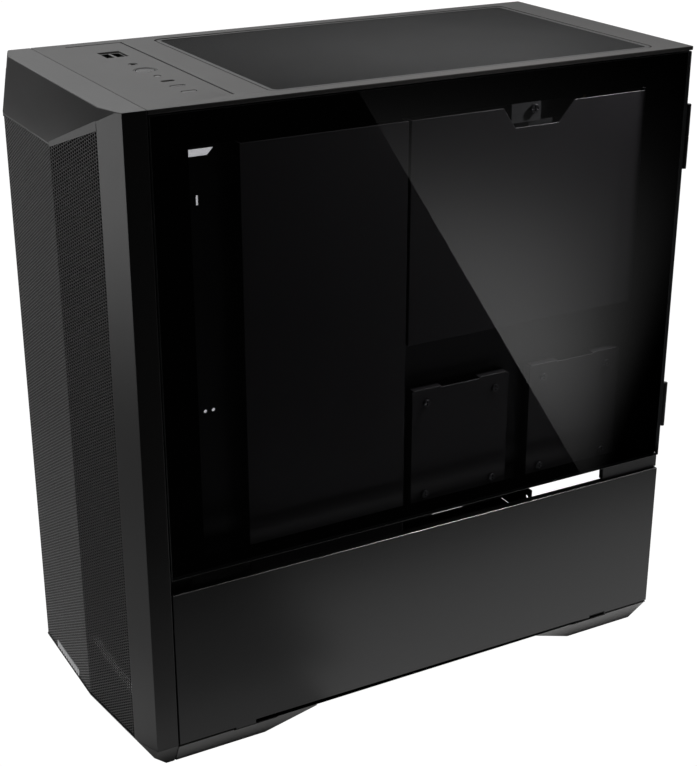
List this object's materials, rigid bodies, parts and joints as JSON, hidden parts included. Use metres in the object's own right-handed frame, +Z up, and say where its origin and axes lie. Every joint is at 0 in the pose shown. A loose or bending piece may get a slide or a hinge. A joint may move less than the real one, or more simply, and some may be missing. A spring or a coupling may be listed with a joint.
{
  "type": "desktop computer tower",
  "caption": "Black mid-tower computer case with a faceted mesh front, two rear-hinged tinted glass doors over drop-down steel panels, a top dust filter and sockets.",
  "frame": {"origin": "on the floor, under the middle of the case's bounding box", "axes": "+Z up, -Y towards the mesh front, +X towards the door on the cable side"},
  "size_m": [0.229, 0.482, 0.494],
  "materials": {
    "black_steel": "fine textured black powder coat on steel",
    "panel_steel": "fine textured black powder coat on steel",
    "front_plastic": "satin black moulded plastic",
    "front_mesh": "perforated steel, satin black paint",
    "light_trim": "satin dark grey moulded plastic",
    "trim_bar": "plain satin silver strip",
    "filter_nylon": "fine black nylon mesh",
    "filter_frame": "black plastic frame",
    "top_plastic": "satin black moulded plastic",
    "fan_plastic": "black moulded plastic",
    "dark_screws": "black zinc screws",
    "brass": "plain turned brass",
    "rubber": "matt black rubber",
    "board": "solder mask on a circuit board",
    "socket_metal": "plated socket shells",
    "button_plastic": "smooth black plastic",
    "ring_metal": "machined ring",
    "light_button": "pale grey translucent plastic",
    "tinted_glass": "smoke tinted tempered glass with a black painted border",
    "magnet": "black coated magnets"
  },
  "bodies": {
    "chassis": {"base_plate": "black_steel", "front_frame": "black_steel", "rear_panel": "black_steel", "top_frame": "black_steel", "board_tray": "black_steel", "psu_shroud": "black_steel", "slot_covers": "black_steel", "slot_clamp": "black_steel", "slot_screws": "dark_screws", "board_standoffs": "brass", "cable_grommets": "rubber", "cable_cover_front": "black_steel", "cable_cover_rear": "black_steel", "cover_clip": "black_steel", "cover_screws": "dark_screws", "ssd_tray_front": "black_steel", "ssd_tray_rear": "black_steel", "ssd_screws": "dark_screws", "drive_cage": "black_steel", "drive_tray_upper": "fan_plastic", "drive_tray_lower": "fan_plastic", "front_fan_frame_upper": "fan_plastic", "front_fan_frame_lower": "fan_plastic", "rear_fan_frame": "fan_plastic", "fan_screws": "dark_screws", "front_filter": "filter_nylon", "top_cover": "top_plastic", "io_board": "board", "usb_ports": "socket_metal", "usb_c_port": "socket_metal", "audio_jack": "socket_metal", "power_ring": "ring_metal", "hinge_brackets_right": "black_steel", "hinge_brackets_left": "black_steel", "door_magnets": "magnet", "foot_front_pair": "light_trim", "foot_rear_pair": "light_trim", "foot_pads": "rubber", "filter_rails": "black_steel"},
    "front_panel": {"front_shell": "front_plastic", "front_mesh": "front_mesh", "front_skirt": "light_trim", "front_clips": "front_plastic", "front_trim_bar": "trim_bar"},
    "top_filter": {"top_filter_frame": "filter_frame", "top_filter_mesh": "filter_nylon"},
    "fan_rotor_front_upper": {"front_fan_rotor_upper": "fan_plastic"},
    "fan_rotor_front_lower": {"front_fan_rotor_lower": "fan_plastic"},
    "fan_rotor_rear": {"rear_fan_rotor": "fan_plastic"},
    "power_key": {"power_button": "button_plastic"},
    "reset_key": {"reset_button": "light_button"},
    "mode_key": {"mode_button": "button_plastic"},
    "color_key": {"color_button": "light_button"},
    "door_right": {"glass_door_right": "tinted_glass", "door_hinges_right": "black_steel"},
    "door_left": {"glass_door_left": "tinted_glass", "door_hinges_left": "black_steel"},
    "panel_right": {"lower_panel_right": "panel_steel"},
    "panel_left": {"lower_panel_left": "panel_steel"},
    "bottom_filter": {"psu_filter": "filter_nylon"}
  },
  "joints": [
    {"name": "door_right_hinge", "type": "hinge", "parent": "chassis", "child": "door_right", "pos_m": [0.1125, 0.239, 0.324], "axis": [0, 0, 1], "range_deg": [0, 110]},
    {"name": "door_left_hinge", "type": "hinge", "parent": "chassis", "child": "door_left", "pos_m": [-0.1125, 0.239, 0.324], "axis": [0, 0, -1], "range_deg": [0, 110]},
    {"name": "panel_right_hinge", "type": "hinge", "parent": "chassis", "child": "panel_right", "pos_m": [0.1132, 0.02, 0.021], "axis": [0, 1, 0], "range_deg": [0, 88]},
    {"name": "panel_left_hinge", "type": "hinge", "parent": "chassis", "child": "panel_left", "pos_m": [-0.1132, 0.02, 0.021], "axis": [0, -1, 0], "range_deg": [0, 88]},
    {"name": "front_panel_pull", "type": "slide", "parent": "chassis", "child": "front_panel", "axis": [0, -1, 0], "range_m": [0, 0.04]},
    {"name": "top_filter_lift", "type": "slide", "parent": "chassis", "child": "top_filter", "axis": [0, 0, 1], "range_m": [0, 0.03]},
    {"name": "bottom_filter_pull", "type": "slide", "parent": "chassis", "child": "bottom_filter", "axis": [0, 1, 0], "range_m": [0, 0.15]},
    {"name": "power_button_press", "type": "slide", "parent": "chassis", "child": "power_key", "axis": [0, 0, -1], "range_m": [0, 0.0012], "stiffness_N_per_m": 600},
    {"name": "reset_button_press", "type": "slide", "parent": "chassis", "child": "reset_key", "axis": [0, 0, -1], "range_m": [0, 0.0008], "stiffness_N_per_m": 500},
    {"name": "mode_button_press", "type": "slide", "parent": "chassis", "child": "mode_key", "axis": [0, 0, -1], "range_m": [0, 0.0008], "stiffness_N_per_m": 500},
    {"name": "color_button_press", "type": "slide", "parent": "chassis", "child": "color_key", "axis": [0, 0, -1], "range_m": [0, 0.0008], "stiffness_N_per_m": 500},
    {"name": "fan_spin_front_upper", "type": "hinge", "parent": "chassis", "child": "fan_rotor_front_upper", "pos_m": [0, -0.183, 0.4105], "axis": [0, 1, 0], "continuous": true},
    {"name": "fan_spin_front_lower", "type": "hinge", "parent": "chassis", "child": "fan_rotor_front_lower", "pos_m": [0, -0.183, 0.2685], "axis": [0, 1, 0], "continuous": true},
    {"name": "fan_spin_rear", "type": "hinge", "parent": "chassis", "child": "fan_rotor_rear", "pos_m": [-0.044, 0.223, 0.412], "axis": [0, 1, 0], "continuous": true}
  ]
}
